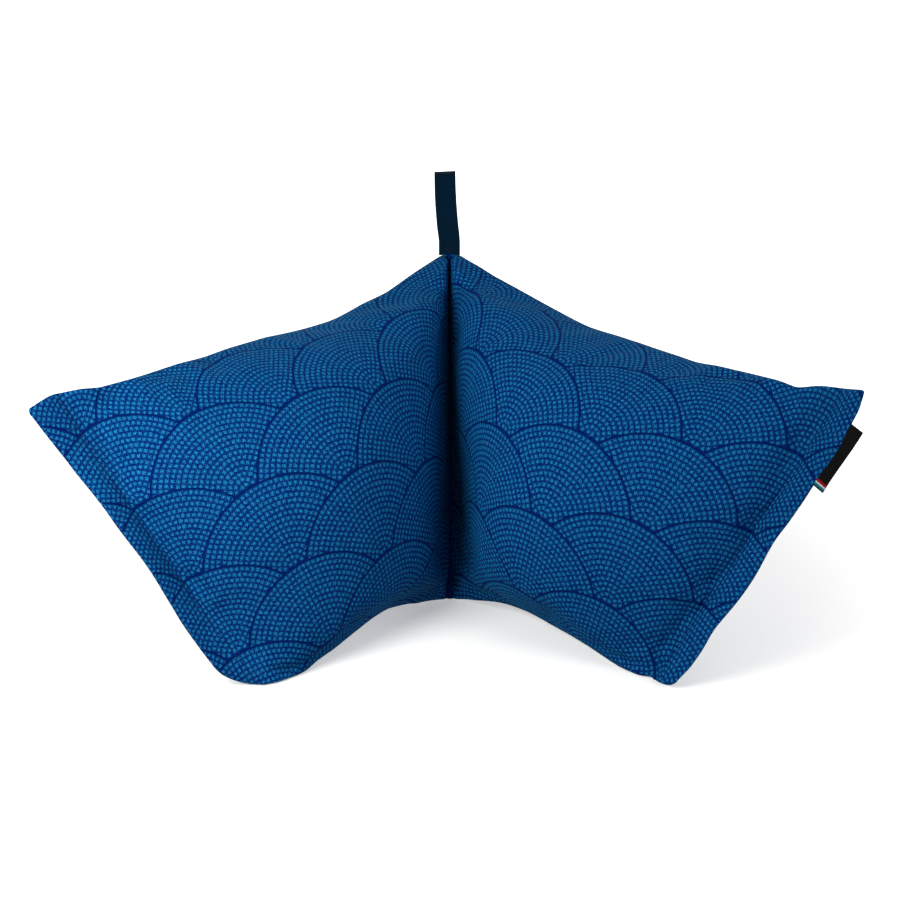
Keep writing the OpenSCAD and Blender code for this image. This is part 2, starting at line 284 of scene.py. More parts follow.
class NeckPillowWing(bpy.types.PropertyGroup):
    """Sizes of one stuffed wing"""

    seam_length: metres("Centre Seam", "Length of the centre seam", 0.18)
    top_edge: metres("Top Edge", "Length of a wing's top edge", 0.27)
    bottom_edge: metres("Bottom Edge", "Length of a wing's bottom edge", 0.145)
    end_edge: metres("Outer End", "Length of a wing's outer end", 0.16)
    top_angle: degrees("Top Angle", "Angle between the centre seam and a top edge", 63)
    top_draw: metres("Top Draw", "How far a top edge is drawn in", 0.0105)
    bottom_draw: metres("Bottom Draw", "How far a bottom edge is drawn in", 0.008)
    flange: metres("Flange", "Width of the flat flange", 0.014)
    front_crown: metres("Front Crown", "Height of the stuffed front", 0.075)
    back_crown: metres("Back Crown", "Height of the stuffed back", 0.048)
    fold: degrees("Fold", "Angle by which a wing is folded forward", 39)
    fold_in: degrees("Fold In", "Angle by which a wing can be folded further in until the cheeks meet", 3)
    cheek: degrees("Cheek Angle", "Steepest angle of a wing's front beside the centre seam", 47.3)
    nape: degrees("Nape Angle", "Steepest angle of a wing's back beside the centre seam", 53.3)
    root: metres("Root", "Distance of the cloth from the seam's line", 0.0023)
    cloth: metres("Cloth", "Thickness of the cotton", 0.0008)
    close: metres("Closeness", "How far the two cheeks close up over the centre seam", 0.0016)
    cheek_gap: metres("Cheek Gap", "Space left beside the middle when a wing is folded in", 0.0003)
    swell: metres("Swell", "Furthest that the filled cloth may move from its cut form", 0.006)
    slack: setting("Slack", "Share by which the cloth is cut larger than its form", 0.02)
    pucker: metres("Pucker", "Depth of the puckers beside the seams", 0.0009)
    lump: metres("Lumps", "Height of the stuffing's soft lumps", 0.0011)
    flange_wave: metres("Flange Wave", "How far the flange waves", 0.0016)


class NeckPillowPrint(bpy.types.PropertyGroup):
    """The wave print of the cotton"""

    wave: metres("Wave Radius", "Radius of one printed wave", 0.0432)
    dot: metres("Dot Pitch", "Distance between two printed dots", 0.0026)
    outline: metres("Outline", "Width of the line round a wave", 0.0009)
    dot_blue: paint("Dots", "Colour of the dots", (0.0094, 0.168, 0.375))
    ground_blue: paint("Ground", "Colour between the dots", (0.0004, 0.015, 0.125))
    left_angle: degrees("Left Angle", "Turn of the left wing's print", -40.47)
    left_from: metres("Left Start", "A wave's centre on the left wing", (0.0234, 0.0195))
    right_angle: degrees("Right Angle", "Turn of the right wing's print", -38.06)
    right_from: metres("Right Start", "A wave's centre on the right wing", (0.0632, -0.0102))


class NeckPillowTrim(bpy.types.PropertyGroup):
    """Stitches, webbing and label"""

    thread: metres("Thread", "Width of the sewing thread", 0.0006)
    stitch: metres("Stitch", "Length of one stitch", 0.003)
    stitch_space: metres("Stitch Space", "Space between two stitches", 0.0012)
    seam_roll: metres("Seam Roll", "Diameter of the rolled centre seam", 0.004)
    tape_width: metres("Webbing Width", "Width of the loop's webbing", 0.011)
    tape: metres("Webbing", "Thickness of the loop's webbing", 0.0012)
    fold_radius: metres("Loop Fold", "Inside radius of the loop's fold", 0.005)
    loop_rise: metres("Loop Rise", "Height of the free loop", 0.0374)
    label_length: metres("Label Length", "Length of the label along the flange", 0.033)
    label_width: metres("Label Width", "Width of the label outside the flange", 0.008)
    label: metres("Label", "Thickness of the folded label", 0.0009)
    thread_navy: paint("Thread Navy", "Colour of the thread", (0.0015, 0.013, 0.085))
    webbing_navy: paint("Webbing Navy", "Colour of the webbing", (0.0003, 0.0095, 0.024))
    label_black: paint("Label Black", "Colour of the label", (0.0022, 0.0022, 0.0025))


class NeckPillowStudio(bpy.types.PropertyGroup):
    """Camera and light"""

    distance: metres("Distance", "Camera's distance from the seam's foot", 1.3)
    lens: setting("Lens", "Focal length in millimetres", 103.68, subtype="DISTANCE_CAMERA")
    elevation: degrees("Elevation", "Camera's height angle", 24.588)
    azimuth: degrees("Azimuth", "Camera's angle round the pillow", -0.165)
    tilt_up: degrees("Tilt", "How far the camera looks above the seam's foot", 3.266)
    ambient: setting("Ambient", "Strength of the white surroundings at the horizon", 0.165)
    overhead: setting("Overhead", "How much stronger the surroundings are overhead", 0.26)
    bounce: setting("Bounce", "Light that comes up from the floor", 0.25)
    # Painted light from the floor paper itself: a dimmer glow near the pillow, which paints a shadow round
    # it, and a brighter glow far from it
    floor_glow_painted_shadow: setting(
        "Floor Glow", "Light of the white paper near the pillow and far from it", (0.34, 0.85)
    )
    key_power: watts("Key", "Power of the light near the left wing", 2.0)
    fill_power: watts("Fill", "Power of the light on the right", 3.8)
    back_power: watts("Back", "Power of the light behind", 8.0)


class WingPlan:
    """The flat outline of a wing in its own plane, x out from the centre seam and y up along it."""

    def __init__(self, wing):
        self.wing = wing
        top_out, top_down = math.sin(wing.top_angle), math.cos(wing.top_angle)
        self.outer_top = np.array((wing.top_edge * top_out, wing.seam_length - wing.top_edge * top_down))
        reach = np.linalg.norm(self.outer_top)
        foot = (wing.bottom_edge**2 - wing.end_edge**2 + reach**2) / (2 * reach)
        drop = math.sqrt(wing.bottom_edge**2 - foot**2)
        across = np.array((self.outer_top[1], -self.outer_top[0])) / reach
        self.outer_foot = self.outer_top * foot / reach + across * drop
        self.end_up = (self.outer_top - self.outer_foot) / wing.end_edge
        self.end_out = np.array((self.end_up[1], -self.end_up[0]))
        foot_way = self.outer_foot / wing.bottom_edge
        top_way = (self.outer_top - (0, wing.seam_length)) / wing.top_edge
        self.root_foot = foot_way * wing.root / foot_way[0]
        self.root_top = np.array((wing.root, wing.seam_length))
        self.line_foot = self.outer_foot - foot_way * wing.flange / (foot_way @ self.end_out)
        self.line_top = self.outer_top - top_way * wing.flange / (top_way @ self.end_out)

    def at(self, u, t, foot_round=0.0, top_round=0.0):
        """Points for u from seam (0) to stitched line (1) and flange's edge (2), and t from bottom to top."""
        cut = [self.corner_cut(u, size) / self.wing.end_edge for size in (foot_round, top_round)]
        t = cut[0] + t * (1 - cut[0] - cut[1])
        inner = np.clip(u, 0, 1)[..., None]
        outer = np.clip(u - 1, 0, 1)[..., None]
        foot = self.root_foot + (self.line_foot - self.root_foot) * inner
        foot = foot + (self.outer_foot - self.line_foot) * outer
        top = self.root_top + (self.line_top - self.root_top) * inner
        top = top + (self.outer_top - self.line_top) * outer
        spot = foot + (top - foot) * t[..., None]
        bow = inner[..., 0] * (1 - inner[..., 0]) ** DRAW_SKEW
        bow = bow * (1 + DRAW_SKEW) ** (1 + DRAW_SKEW) / DRAW_SKEW**DRAW_SKEW
        spot[..., 1] += bow * (self.wing.bottom_draw * (1 - t) - self.wing.top_draw * t)
        return spot

    def corner_cut(self, u, size):
        """How far a corner rounded by a size is cut back along the flange's edge."""
        near = np.clip(size - (2 - u) * self.wing.flange, 0, size)
        return size - np.sqrt(size**2 - near**2)

    def crown(self, u, t, face):
        """Height of the stuffed cloth over the plane, in front (1) or behind (-1)."""
        wing = self.wing
        height, angle = (wing.front_crown, wing.cheek) if face > 0 else (wing.back_crown, wing.nape)
        reach = (self.line_foot + (self.line_top - self.line_foot) * t[..., None])[..., 0] - wing.root
        rise = np.clip(u * reach * math.tan(angle), LEAST, None)
        edge = np.clip(np.sin(np.pi * np.clip(t, 0, 1)), 0, 1) ** CROWN_EDGE
        dome = CROWN_SHARE * height * (1 - np.clip(u, 0, 1) ** CROWN_FALL) ** CROWN_END * edge
        dome = np.clip(dome, LEAST, None)
        return rise * dome / (rise**CROWN_SHOULDER + dome**CROWN_SHOULDER) ** (1 / CROWN_SHOULDER)


def wing_axes(fold):
    """Outward, upward and forward directions of the right wing."""
    lean_sin, lean_cos = math.sin(SEAM_LEAN), math.cos(SEAM_LEAN)
    fold_sin, fold_cos = math.sin(fold), math.cos(fold)
    out = (fold_cos, -fold_sin * lean_cos, fold_sin * lean_sin)
    front = (-fold_sin, -fold_cos * lean_cos, fold_cos * lean_sin)
    return np.array((out, (0, lean_sin, lean_cos), front))


def stand(points, fold, mirror):
    """Points of a wing's own frame, placed where the wing stands and kept above the floor."""
    placed = SEAM_FOOT + points @ wing_axes(fold)
    placed[..., 0] *= mirror
    placed[..., 2] = np.maximum(placed[..., 2], 0.0)
    return placed


def on_seam(points):
    """Points of the centre seam's own frame, x across, y to the back and z up the seam, where it stands."""
    lean_sin, lean_cos = math.sin(SEAM_LEAN), math.cos(SEAM_LEAN)
    axes = np.array(((1, 0, 0), (0, lean_cos, -lean_sin), (0, lean_sin, lean_cos)))
    return SEAM_FOOT + points @ axes


def eased(count):
    """Shares from 0 to 1, closer together at both ends."""
    share = np.linspace(0, 1, count + 1)
    return 0.5 * share + 0.25 * (1 - np.cos(np.pi * share))


def wobble(x, y, seed):
    """Smooth values between about -1 and 1 over two arrays."""
    gain = 1.6
    values = [noise.noise((float(a), float(b), seed)) for a, b in zip(x.ravel(), y.ravel())]
    return np.array(values).reshape(x.shape) * gain


def smooth_step(low, high, x):
    """0 below low, 1 above high and an even turn between them."""
    s = np.clip((x - low) / (high - low), 0, 1)
    return s * s * (3 - 2 * s)


def bump(x, middle, width):
    """A smooth rise to 1 at one place of an array."""
    return np.exp(-(((x - middle) / width) ** 2))


def reached_at(path):
    """Length of a path of points up to each point."""
    return np.concatenate(((0,), np.cumsum(np.linalg.norm(np.diff(path, axis=0), axis=1))))


def grid_mesh(bm, columns, rows):
    """Adds a grid of cells to a bmesh and gives its vertices by row and column."""
    made = bmesh.ops.create_grid(bm, x_segments=columns, y_segments=rows, size=0.5)["verts"]
    return [made[j * (columns + 1) : (j + 1) * (columns + 1)] for j in range(rows + 1)]


def grid_at(bm, points):
    """Adds a grid of cells that lies on an array of points by row and column, and gives its vertices."""
    grid = grid_mesh(bm, points.shape[1] - 1, points.shape[0] - 1)
    for line, spots in zip(grid, points):
        for vert, spot in zip(line, spots):
            vert.co = spot
    return grid


def open_edges(bm):
    """The edges of a bmesh that close only one face."""
    return [edge for edge in bm.edges if edge.is_boundary]


def face_outward(bm):
    """Turns every face of a bmesh outwards."""
    bmesh.ops.recalc_face_normals(bm, faces=bm.faces[:])


def finish_piece(name, bm, material, body, replaced):
    """Makes a bmesh a piece of the pillow that rides on a body and stands for its solids."""
    mesh = bpy.data.meshes.new(name)
    bm.to_mesh(mesh)
    bm.free()
    mesh.shade_smooth()
    piece = bpy.data.objects.new(name, mesh)
    bpy.context.scene.collection.objects.link(piece)
    mesh.materials.append(material)
    if body:
        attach(piece, body)
    if replaced:
        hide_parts(*replaced)
    return piece


def points_of(piece):
    """The vertices of a piece's own mesh as an array."""
    found = np.empty(len(piece.data.vertices) * 3, np.float32)
    piece.data.vertices.foreach_get("co", found)
    return found.reshape(-1, 3).astype(float)


def cover_points(wing, side):
    """The points of one cover by row and column."""
    return points_of(bpy.data.objects[f"{wing}_{side}_cover"]).reshape(ACROSS + 1, -1, 3)


class Shade:
    """Adds nodes to the tree of a material or a world and links them."""

    def __init__(self, owner, shader="Principled BSDF"):
        owner.use_nodes = True
        self.owner = owner
        self.tree = owner.node_tree
        self.shader = self.tree.nodes[shader]

    def feed(self, socket, value):
        if isinstance(value, bpy.types.NodeSocket):
            self.tree.links.new(value, socket)
        else:
            socket.default_value = value

    def node(self, kind, inputs=None, output=0, **settings):
        made = self.tree.nodes.new(kind)
        for key, value in settings.items():
            setattr(made, key, value)
        for key, value in (inputs or {}).items():
            self.feed(made.inputs[key], value)
        return made.outputs[output]

    def calc(self, operation, *values):
        return self.node("ShaderNodeMath", dict(enumerate(values)), operation=operation)

    def sine(self, value, pace):
        return self.calc("SINE", self.calc("MULTIPLY", value, pace))

    def around_zero(self, value, width):
        return self.calc("MULTIPLY_ADD", value, width, -width / 2)

    def off_middle(self, value, whole):
        return self.calc("ABSOLUTE", self.calc("SUBTRACT", self.calc("SUBTRACT", value, whole), 0.5))

    def ramp(self, value, low, high, start=0.0, end=1.0):
        inputs = {0: value, 1: low, 2: high, 3: start, 4: end}
        return self.node("ShaderNodeMapRange", inputs, interpolation_type="SMOOTHSTEP")

    def worn(self, value, smooth, rough):
        return self.ramp(value, 0.2, 0.8, smooth, rough)

    def mix(self, factor, first, second):
        return self.node("ShaderNodeMix", {0: factor, 6: first, 7: second}, 2, data_type="RGBA")

    def choose(self, factor, first, second):
        return self.node("ShaderNodeMix", {0: factor, 4: first, 5: second}, 1, data_type="VECTOR")

    def combine(self, x, y):
        return self.node("ShaderNodeCombineXYZ", {0: x, 1: y})

    def length(self, vector):
        return self.node("ShaderNodeVectorMath", {0: vector}, "Value", operation="LENGTH")

    def separate(self, vector):
        return self.node("ShaderNodeSeparateXYZ", {0: vector}).node.outputs

    def uv(self, name):
        return self.separate(self.node("ShaderNodeUVMap", uv_map=name))

    def place(self):
        return self.node("ShaderNodeTexCoord", output="Object")

    def noise(self, scale, detail=3.0):
        inputs = {"Vector": self.place(), "Scale": scale, "Detail": detail}
        return self.node("ShaderNodeTexNoise", inputs)

    def bump(self, height, distance, strength, below=None):
        inputs = {"Height": height, "Distance": distance, "Strength": strength}
        if below is not None:
            inputs["Normal"] = below
        return self.node("ShaderNodeBump", inputs)

    def set(self, **values):
        for key, value in values.items():
            self.feed(self.shader.inputs[key.replace("_", " ")], value)
        return self.owner


def toned(colour, gain=1.0):
    """A colour made darker or lighter, as a shader takes it."""
    return (*[part * gain for part in colour], 1)


def new_shade(name):
    """A new material to add nodes to."""
    return Shade(bpy.data.materials.new(name))


def printed_cotton(name, look, inked=1.0):
    """Cotton with overlapping waves of dots, laid out on the cut's own map in wave radii."""
    shade = new_shade(name)
    calc = shade.calc
    a, b, _ = shade.uv("print")
    # The lowest row of waves that can reach a point covers those above it
    first_row = calc("CEIL", calc("MULTIPLY_ADD", b, 2.0, -2.0))
    waves = []
    for step in range(3):
        row = calc("ADD", first_row, float(step))
        odd = calc("FLOORED_MODULO", row, 2.0)
        aside = calc("WRAP", calc("SUBTRACT", a, odd), 1.0, -1.0)
        above = calc("MULTIPLY_ADD", row, -0.5, b)
        spot = shade.combine(aside, above)
        waves.append((spot, calc("LESS_THAN", shade.length(spot), 1.0)))
    spot = shade.choose(waves[1][1], waves[2][0], waves[1][0])
    spot = shade.choose(waves[0][1], spot, waves[0][0])
    aside, above, _ = shade.separate(spot)
    # Rings of dots inside the outline, each with a whole number of dots
    pitch, line = look.dot / look.wave, look.outline / look.wave
    inside = calc("SUBTRACT", 1.0, shade.length(spot))
    rings = calc("MULTIPLY", calc("SUBTRACT", inside, line), 1 / pitch)
    rings = calc("ADD", rings, shade.around_zero(shade.noise(STRAY_INK, 1.0), INK_BLUR))
    ring = calc("FLOOR", rings)
    ring_radius = calc("MULTIPLY_ADD", ring, -pitch, 1 - line - pitch / 2)
    count = calc("ROUND", calc("MULTIPLY", ring_radius, 2 * math.pi * DOT_CROWD / pitch))
    turn = calc("MULTIPLY", calc("ARCTAN2", aside, above), 0.5 / math.pi)
    along = calc("MULTIPLY", turn, count)
    number = calc("FLOOR", along)
    # Rounded squares of ink, uneven from dot to dot and over the threads
    along_dot = calc("MULTIPLY", shade.off_middle(along, number), DOT_LONG)
    square = calc("SMOOTH_MAX", shade.off_middle(rings, ring), along_dot, DOT_ROUND)
    chance = shade.node("ShaderNodeTexWhiteNoise", {0: shade.combine(ring, number)})
    square = calc("MULTIPLY_ADD", chance, DOT_UNEVEN, square)
    threads = 2 * math.pi * look.wave / WEAVE_PITCH
    weave = calc("MULTIPLY", shade.sine(a, threads), shade.sine(b, threads))
    square = calc("MULTIPLY_ADD", weave, -WEAVE_INK, square)
    square = calc("ADD", square, shade.around_zero(shade.noise(INK_GRAIN, 2.0), INK_BLUR))
    dot = shade.ramp(square, *DOT_EDGE, 1.0, 0.0)
    # Dots that another wave would cut are left out, and none runs into the outline
    dot_turn = calc("DIVIDE", calc("MULTIPLY_ADD", number, 2 * math.pi, math.pi), count)
    dot_aside = calc("MULTIPLY", ring_radius, calc("SINE", dot_turn))
    dot_above = calc("MULTIPLY", ring_radius, calc("COSINE", dot_turn))
    for over_aside, over_above in ((1.0, -0.5), (-1.0, -0.5), (0.0, -1.0)):
        gap = shade.combine(calc("SUBTRACT", dot_aside, over_aside), calc("SUBTRACT", dot_above, over_above))
        dot = calc("MULTIPLY", dot, calc("GREATER_THAN", shade.length(gap), 1 - pitch * 0.2))
    dot = calc("MULTIPLY", dot, shade.ramp(inside, line * 0.8, line * 1.1))
    faded = shade.noise(INK_FADE)
    tint = calc("ADD", calc("MULTIPLY", chance, 0.6), calc("MULTIPLY", faded, 0.5))
    dots = shade.mix(tint, toned(look.dot_blue, 0.78), toned(look.dot_blue, 1.2))
    outlined = shade.ramp(inside, line * 0.7, line * 1.2)
    ground = shade.mix(outlined, toned(look.ground_blue, 0.7), toned(look.ground_blue))
    colour = shade.mix(calc("MULTIPLY", dot, inked), ground, dots)
    tone = {0: colour, "Scale": calc("MULTIPLY_ADD", weave, WEAVE_TONE, 1.0)}
    soft = shade.bump(shade.noise(SOFT_CREASE, 2.0), 0.0012, 0.35)
    return shade.set(
        Base_Color=shade.node("ShaderNodeVectorMath", tone, operation="SCALE"),
        Roughness=shade.worn(faded, 0.84, 0.95),
        Specular_IOR_Level=0.02,
        Sheen_Weight=0.06,
        Sheen_Roughness=0.4,
        Sheen_Tint=(0.03, 0.55, 0.8, 1),
        Normal=shade.bump(weave, 0.00012, 0.45, soft),
    )


def sewing_thread(name, colour):
    """Twisted thread with a slight sheen."""
    shade = new_shade(name)
    x, y, z = shade.separate(shade.place())
    twist = shade.sine(shade.calc("ADD", x, shade.calc("ADD", y, z)), THREAD_TWIST)
    worn = shade.noise(900.0)
    return shade.set(
        Base_Color=shade.mix(worn, toned(colour, 0.75), toned(colour, 1.35)),
        Roughness=shade.worn(worn, 0.6, 0.75),
        Specular_IOR_Level=0.12,
        Normal=shade.bump(twist, 0.00008, 0.5),
    )


def ribbed_webbing(name, colour):
    """Webbing with ribs across it and a fine herringbone between them, painted darker in the grooves as shade
    and lighter on the ribs as highlight.
    """
    shade = new_shade(name)
    across, along, _ = shade.uv("weave")
    rib = shade.calc("ABSOLUTE", shade.sine(along, math.pi / RIB_PITCH))
    side = shade.calc("PINGPONG", across, HERRINGBONE)
    slant = shade.sine(shade.calc("ADD", along, side), 2 * math.pi / SLANT_PITCH)
    height = shade.calc("MULTIPLY_ADD", slant, 0.35, rib)
    worn = shade.noise(500.0)
    # Painted shade and highlight: darker in the grooves between the ribs, lighter on their tops
    rib_painted_shade = shade.mix(rib, toned(colour, 0.6), toned(colour, 1.25))
    return shade.set(
        Base_Color=shade.mix(shade.ramp(worn, 0.35, 0.75, 0.0, 0.35), rib_painted_shade, toned(colour, 1.7)),
        Roughness=shade.worn(worn, 0.62, 0.8),
        Specular_IOR_Level=0.03,
        Normal=shade.bump(height, 0.00018, 0.55),
    )


def woven_label(name, colour):
    """Satin label with three thin stripes across its lower end."""
    shade = new_shade(name)
    across, along, _ = shade.uv("weave")
    warp, weft = shade.sine(across, 2 * math.pi / SATIN_WARP), shade.sine(along, 2 * math.pi / SATIN_WEFT)
    weave = shade.calc("MULTIPLY_ADD", weft, 0.6, warp)
    worn = shade.noise(700.0)
    shown = shade.mix(worn, toned(colour, 0.7), toned(colour, 1.5))
    for place, half, stripe in STRIPES:
        shown = shade.mix(shade.calc("COMPARE", along, place, half), shown, stripe)
    return shade.set(
        Base_Color=shown,
        Roughness=shade.worn(worn, 0.6, 0.75),
        Specular_IOR_Level=0.06,
        Normal=shade.bump(weave, 0.00006, 0.4),
    )


def stuffing_fibre(name):
    """White polyester fibre."""
    shade = new_shade(name)
    tuft, strand = shade.noise(120.0, 6.0), shade.noise(1400.0, 2.0)
    return shade.set(
        Base_Color=shade.mix(tuft, (0.72, 0.72, 0.69, 1), (0.9, 0.9, 0.88, 1)),
        Roughness=shade.worn(strand, 0.85, 1.0),
        Sheen_Weight=0.4,
        Normal=shade.bump(shade.calc("ADD", tuft, strand), 0.001, 0.7),
    )


def shared(name, maker, *settings):
    """A material by name, made the first time that it is asked for."""
    return bpy.data.materials.get(name) or maker(name, *settings)


def cut_pouch(plan):
    """A closed pouch of two cloth faces sewn together all round, and the numbers of its vertices by face."""
    u, t = np.meshgrid(eased(ALONG), eased(ACROSS))
    spot = plan.at(u, t)
    bm = bmesh.new()
    grids = []
    for _, face in FACES:
        height = face * POUCH_SHARE * plan.crown(u, t, face)
        height[[0, -1]] = height[:, [0, -1]] = 0
        grids.append(grid_at(bm, np.dstack((spot, height))))
    bm.faces.ensure_lookup_table()
    bmesh.ops.reverse_faces(bm, faces=bm.faces[ALONG * ACROSS :])
    sewn = {}
    for j in range(ACROSS + 1):
        for i in range(ALONG + 1):
            if i in (0, ALONG) or j in (0, ACROSS):
                sewn[grids[1][j][i]] = grids[0][j][i]
                grids[1][j][i] = grids[0][j][i]
    bmesh.ops.weld_verts(bm, targetmap=sewn)
    bm.verts.index_update()
    numbers = np.array([[[vert.index for vert in line] for line in grid] for grid in grids])
    mesh = bpy.data.meshes.new("pouch")
    bm.to_mesh(mesh)
    bm.free()
    return mesh, numbers


def fill_pouch(mesh, numbers, wing):
    """Fills a pouch with air as a cloth that is held along its seams, and gives its points by face."""
    scene = bpy.context.scene
    pouch = bpy.data.objects.new("pouch", mesh)
    scene.collection.objects.link(pouch)
    start = points_of(pouch)
    held = pouch.vertex_groups.new(name="sewn")
    rim = set(numbers[0, 0]) | set(numbers[0, -1]) | set(numbers[0, :, 0]) | set(numbers[0, :, -1])
    held.add([int(k) for k in rim], 1.0, "REPLACE")
    cloth = pouch.modifiers.new("fill", "CLOTH")
    for key, value in FILL_CLOTH.items():
        setattr(cloth.settings, key, value)
    cloth.settings.shrink_min = -wing.slack
    cloth.settings.vertex_group_mass = held.name
    cloth.settings.effector_weights.gravity = 0
    cloth.point_cache.frame_start = 1
    cloth.point_cache.frame_end = FILL_MOMENTS
    for moment in range(1, FILL_MOMENTS + 1):
        scene.frame_set(moment)
    filled = pouch.evaluated_get(bpy.context.evaluated_depsgraph_get())
    moved = points_of(filled) - start
    far = np.linalg.norm(moved, axis=1, keepdims=True)
    start = start + moved * (wing.swell * np.tanh(far / wing.swell) / np.maximum(far, 1e-12))
    scene.frame_set(1)
    bpy.data.objects.remove(pouch)
    bpy.data.meshes.remove(mesh)
    return start[numbers]


def lie(wing, lay, us, ts):
    """How far a wing that lies in its own way has its cloth moved out, up and forward."""
    flange_in = np.clip(us - 1, 0, 1)
    moved = np.zeros((*us.shape, 3))
    ripple = wobble(ts * wing.end_edge * RIPPLE_ALONG, flange_in * RIPPLE_ACROSS, lay["seed"])
    wave = RIPPLE_SHARE * wing.flange_wave * ripple
    for place, width, height in lay["waves"]:
        wave = wave + height * bump(ts, place, width)
    from_line = np.where(us < 1, (1 - us) * STUFFED / DIP_INSIDE, flange_in * wing.flange / DIP_OUTSIDE)
    moved[..., 2] = wave * flange_in - lay["dip"] * bump(from_line, 0.0, 1.0)
    for spread_u, spread_t, shift in lay["shifts"]:
        share = bump(us, *spread_u) * bump(ts, *spread_t) * smooth_step(0.0, SHIFT_START, us)
        moved += share[..., None] * np.array(shift)
    top, foot, end = [np.array(lay[edge]).T * ((1.0,), (0.001,)) for edge in ("top", "foot", "end")]
    lift = np.interp(us, *top) * bump(ts, 1.0, UNEVEN_REACH)
    moved[..., 1] += lift + np.interp(us, *foot) * bump(ts, 0.0, UNEVEN_REACH)
    moved[..., 0] += np.interp(ts, *end) * flange_in**2
    return moved


def puckers(gap, run, seed, gain, reach, waves, waves_away, shift=0.0):
    """Folds that a seam draws into the cloth beside it."""
    depth = np.exp(-gap / reach) * (1 - np.exp(-gap / PUCKER_START))
    return gain * depth * wobble(run * waves, gap * waves_away + shift, seed)


def dress_wing(plan, filled, lay):
    """Adds a flange to a wing's filled faces, puckers its seams, lays it down and gives the faces' points."""
    wing, seed = plan.wing, lay["seed"]
    u = np.concatenate((eased(ALONG), 1 + np.array(FLANGE_SHARES)))
    us, ts = np.meshgrid(u, eased(ACROSS))
    spot = plan.at(us, ts, *lay["rounds"])
    moved = lie(wing, lay, us, ts)
    top_gap = (1 - ts) * wing.seam_length
    foot_gap = ts * wing.seam_length * FOOT_SHARE
    line_gap = np.clip((1 - us) * STUFFED, 0, None)
    run = spot[..., 0] + PUCKER_SLANT * spot[..., 1]
    faces = []
    for side, (_, face) in enumerate(FACES):
        points = np.zeros((*us.shape, 3))
        points[..., :2] = spot
        points[:, : ALONG + 1] = filled[side]
        # The least height keeps the two layers apart, and closes them at the rim and the seam
        layer = wing.cloth + HAIR
        flat = np.full(us.shape, layer)
        flat[:, -2] *= RIM_SHARE
        flat[:, -1] = 0
        flat[0] = flat[-1] = 0
        flat[:, 0] = 0
        height = np.maximum(face * points[..., 2], flat)
        pucker = puckers(top_gap, run, seed + face, *EDGE_PUCKERS)
        pucker += puckers(foot_gap, run, seed + face, *EDGE_PUCKERS, FOOT_SHIFT)
        pucker += puckers(line_gap, ts * wing.end_edge, seed + 3 + face, *LINE_PUCKERS) * (us < 1)
        lump = wobble(spot[..., 0] * LUMP_WAVES, spot[..., 1] * LUMP_WAVES, seed + 5 + face)
        lump *= smooth_step(0.0, LUMP_EDGE, np.minimum(top_gap, foot_gap))
        lump *= smooth_step(0.0, LUMP_LINE, line_gap)
        height = height + wing.pucker * pucker + wing.lump * lump
        # Room beside the seam, and in front as much as lets the cheeks fold further in
        room = np.clip(points[..., 0] - wing.root, 0, None)
        room = room * math.tan(wing.cheek if face > 0 else wing.nape) + layer + wing.close * (us > 0)
        height = np.maximum(height, flat)
        if face > 0:
            met = points[..., 0] / math.tan(wing.fold + wing.fold_in) - wing.cheek_gap
            room = np.minimum(room, np.maximum(met, layer))
            tucked = lay["tuck"] * bump(us, *TUCK_U) * bump(ts, *TUCK_T)
            height = np.maximum(height * (1 - tucked), flat)
            pressed = 1 - smooth_step(*PRESS_U, us)
            pressed *= smooth_step(*lay["press"], ts) * smooth_step(0.0, PRESS_TOP, 1 - ts)
            height = height + np.clip(room - height, 0, None) * pressed
        height = np.minimum(height, room)
        height[:, 0] = 0
        points[..., 2] = face * height
        faces.append(points + moved)
    return faces


def flat_map(cover, spot):
    """Lays a cover out as the flat cut it was sewn from, turned as in the wing's own plane."""
    mesh = cover.data
    mesh.uv_layers.new(name="print")
    bpy.ops.object.select_all(action="DESELECT")
    bpy.context.view_layer.objects.active = cover
    cover.select_set(True)
    bpy.ops.object.mode_set(mode="EDIT")
    bpy.ops.mesh.select_all(action="SELECT")
    bpy.ops.uv.unwrap(method="MINIMUM_STRETCH", iterations=20, margin=0.0)
    bpy.ops.object.mode_set(mode="OBJECT")
    cover.select_set(False)
    layer = mesh.uv_layers["print"]
    corners = np.empty(len(mesh.loops), np.int32)
    mesh.loops.foreach_get("vertex_index", corners)
    laid = np.empty(len(mesh.loops) * 2, np.float32)
    layer.uv.foreach_get("vector", laid)
    laid = laid.reshape(-1, 2).astype(float)
    quads = laid.reshape(-1, 4, 2)
    one, two = quads[:, 2] - quads[:, 0], quads[:, 3] - quads[:, 1]
    laid_area = np.abs(one[:, 0] * two[:, 1] - one[:, 1] * two[:, 0]).sum() / 2
    cloth_area = sum(polygon.area for polygon in mesh.polygons)
    flat = np.zeros((len(mesh.vertices), 2))
    flat[corners] = laid * math.sqrt(cloth_area / laid_area)
    middle, target = flat.mean(0), spot.mean(0)
    left, _, right = np.linalg.svd((flat - middle).T @ (spot - target))
    return (flat - middle) @ (left @ right) + target, layer, corners


